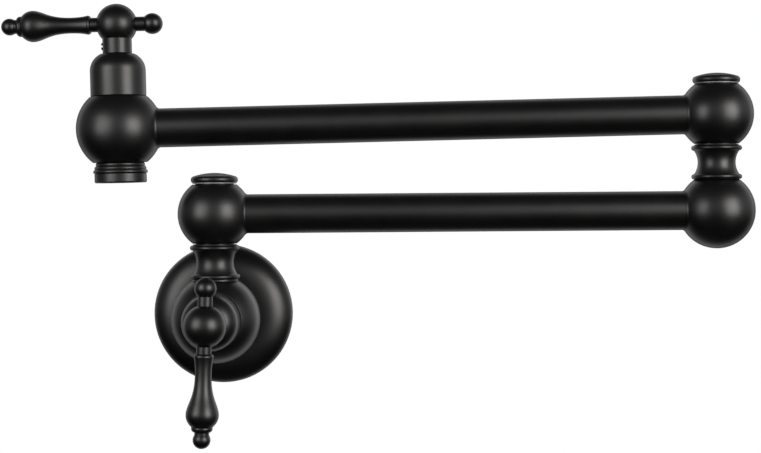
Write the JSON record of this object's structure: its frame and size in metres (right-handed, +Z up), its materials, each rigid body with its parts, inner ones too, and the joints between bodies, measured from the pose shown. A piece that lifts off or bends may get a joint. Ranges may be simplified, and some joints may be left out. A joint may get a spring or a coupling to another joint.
{
  "type": "wall-mounted pot filler tap",
  "caption": "Matte-black wall-mounted pot filler: round flange, ball valve body, folding arms on ball swivels with hourglass necks, lever valve at wall and spout, aerator outlet.",
  "frame": {"origin": "mouth of the water inlet, on the wall plane at the middle of the flange", "axes": "+Z up, +Y into the wall, +X to the right along the folded arms as seen from the front"},
  "size_m": [0.3673, 0.106, 0.2104],
  "materials": {
    "matte_black": "satin-matte black coating on brass",
    "black_screw": "black-oxide steel",
    "brass": "machined",
    "steel": "spring steel",
    "ceramic": "lapped",
    "rubber": "moulded",
    "acetal": "grey acetal",
    "black_acetal": "black acetal",
    "aerator_plastic": "moulded grey plastic"
  },
  "bodies": {
    "wall_body": {"wall_valve_body": "matte_black", "wall_flange": "matte_black", "flange_gasket": "rubber", "flange_o_ring": "rubber", "flange_set_screw": "black_screw", "wall_seat_seal": "rubber", "wall_cartridge_body": "brass", "wall_fixed_disc": "ceramic", "wall_bonnet": "matte_black", "wall_swivel_neck": "matte_black", "wall_swivel_spindle": "brass", "wall_swivel_o_rings": "rubber", "wall_swivel_lower_washer": "black_acetal", "wall_swivel_upper_washer": "acetal", "wall_swivel_cap": "matte_black"},
    "lower_arm": {"wall_swivel_ball": "matte_black", "lower_arm_tube": "matte_black", "elbow_lower_ball": "matte_black", "elbow_neck": "matte_black", "elbow_spindle": "brass", "elbow_o_rings": "rubber", "elbow_lower_washer": "black_acetal", "elbow_upper_washer": "acetal", "elbow_cap": "matte_black"},
    "upper_arm": {"elbow_upper_ball": "matte_black", "upper_arm_tube": "matte_black", "spout_valve_body": "matte_black", "outlet_collar": "matte_black", "aerator_housing": "matte_black", "aerator_insert": "aerator_plastic", "aerator_washer": "rubber", "spout_seat_seal": "rubber", "spout_cartridge_body": "brass", "spout_fixed_disc": "ceramic", "spout_bonnet": "matte_black"},
    "wall_handle": {"wall_moving_disc": "ceramic", "wall_cartridge_spindle": "brass", "wall_spindle_o_ring": "rubber", "wall_spindle_clip": "steel", "wall_handle_hub": "matte_black", "wall_handle_lever": "matte_black", "wall_counter_knob": "matte_black", "wall_handle_set_screw": "black_screw"},
    "spout_handle": {"spout_moving_disc": "ceramic", "spout_cartridge_spindle": "brass", "spout_spindle_o_ring": "rubber", "spout_spindle_clip": "steel", "spout_handle_hub": "matte_black", "spout_handle_lever": "matte_black", "spout_counter_knob": "matte_black", "spout_handle_set_screw": "black_screw"}
  },
  "joints": [
    {"name": "wall_swivel", "type": "hinge", "parent": "wall_body", "child": "lower_arm", "pos_m": [0, -0.044, 0.05124], "axis": [0, 0, -1], "range_deg": [0, 180]},
    {"name": "elbow_swivel", "type": "hinge", "parent": "lower_arm", "child": "upper_arm", "pos_m": [0.2454, -0.044, 0.09824], "axis": [0, 0, 1], "continuous": true},
    {"name": "wall_handle_turn", "type": "hinge", "parent": "wall_body", "child": "wall_handle", "pos_m": [0, -0.06063, 0], "axis": [0, -1, 0], "range_deg": [0, 90]},
    {"name": "spout_handle_turn", "type": "hinge", "parent": "upper_arm", "child": "spout_handle", "pos_m": [-0.04616, -0.044, 0.09315], "axis": [-0.0175, 0, 0.9998], "range_deg": [0, 90]}
  ]
}
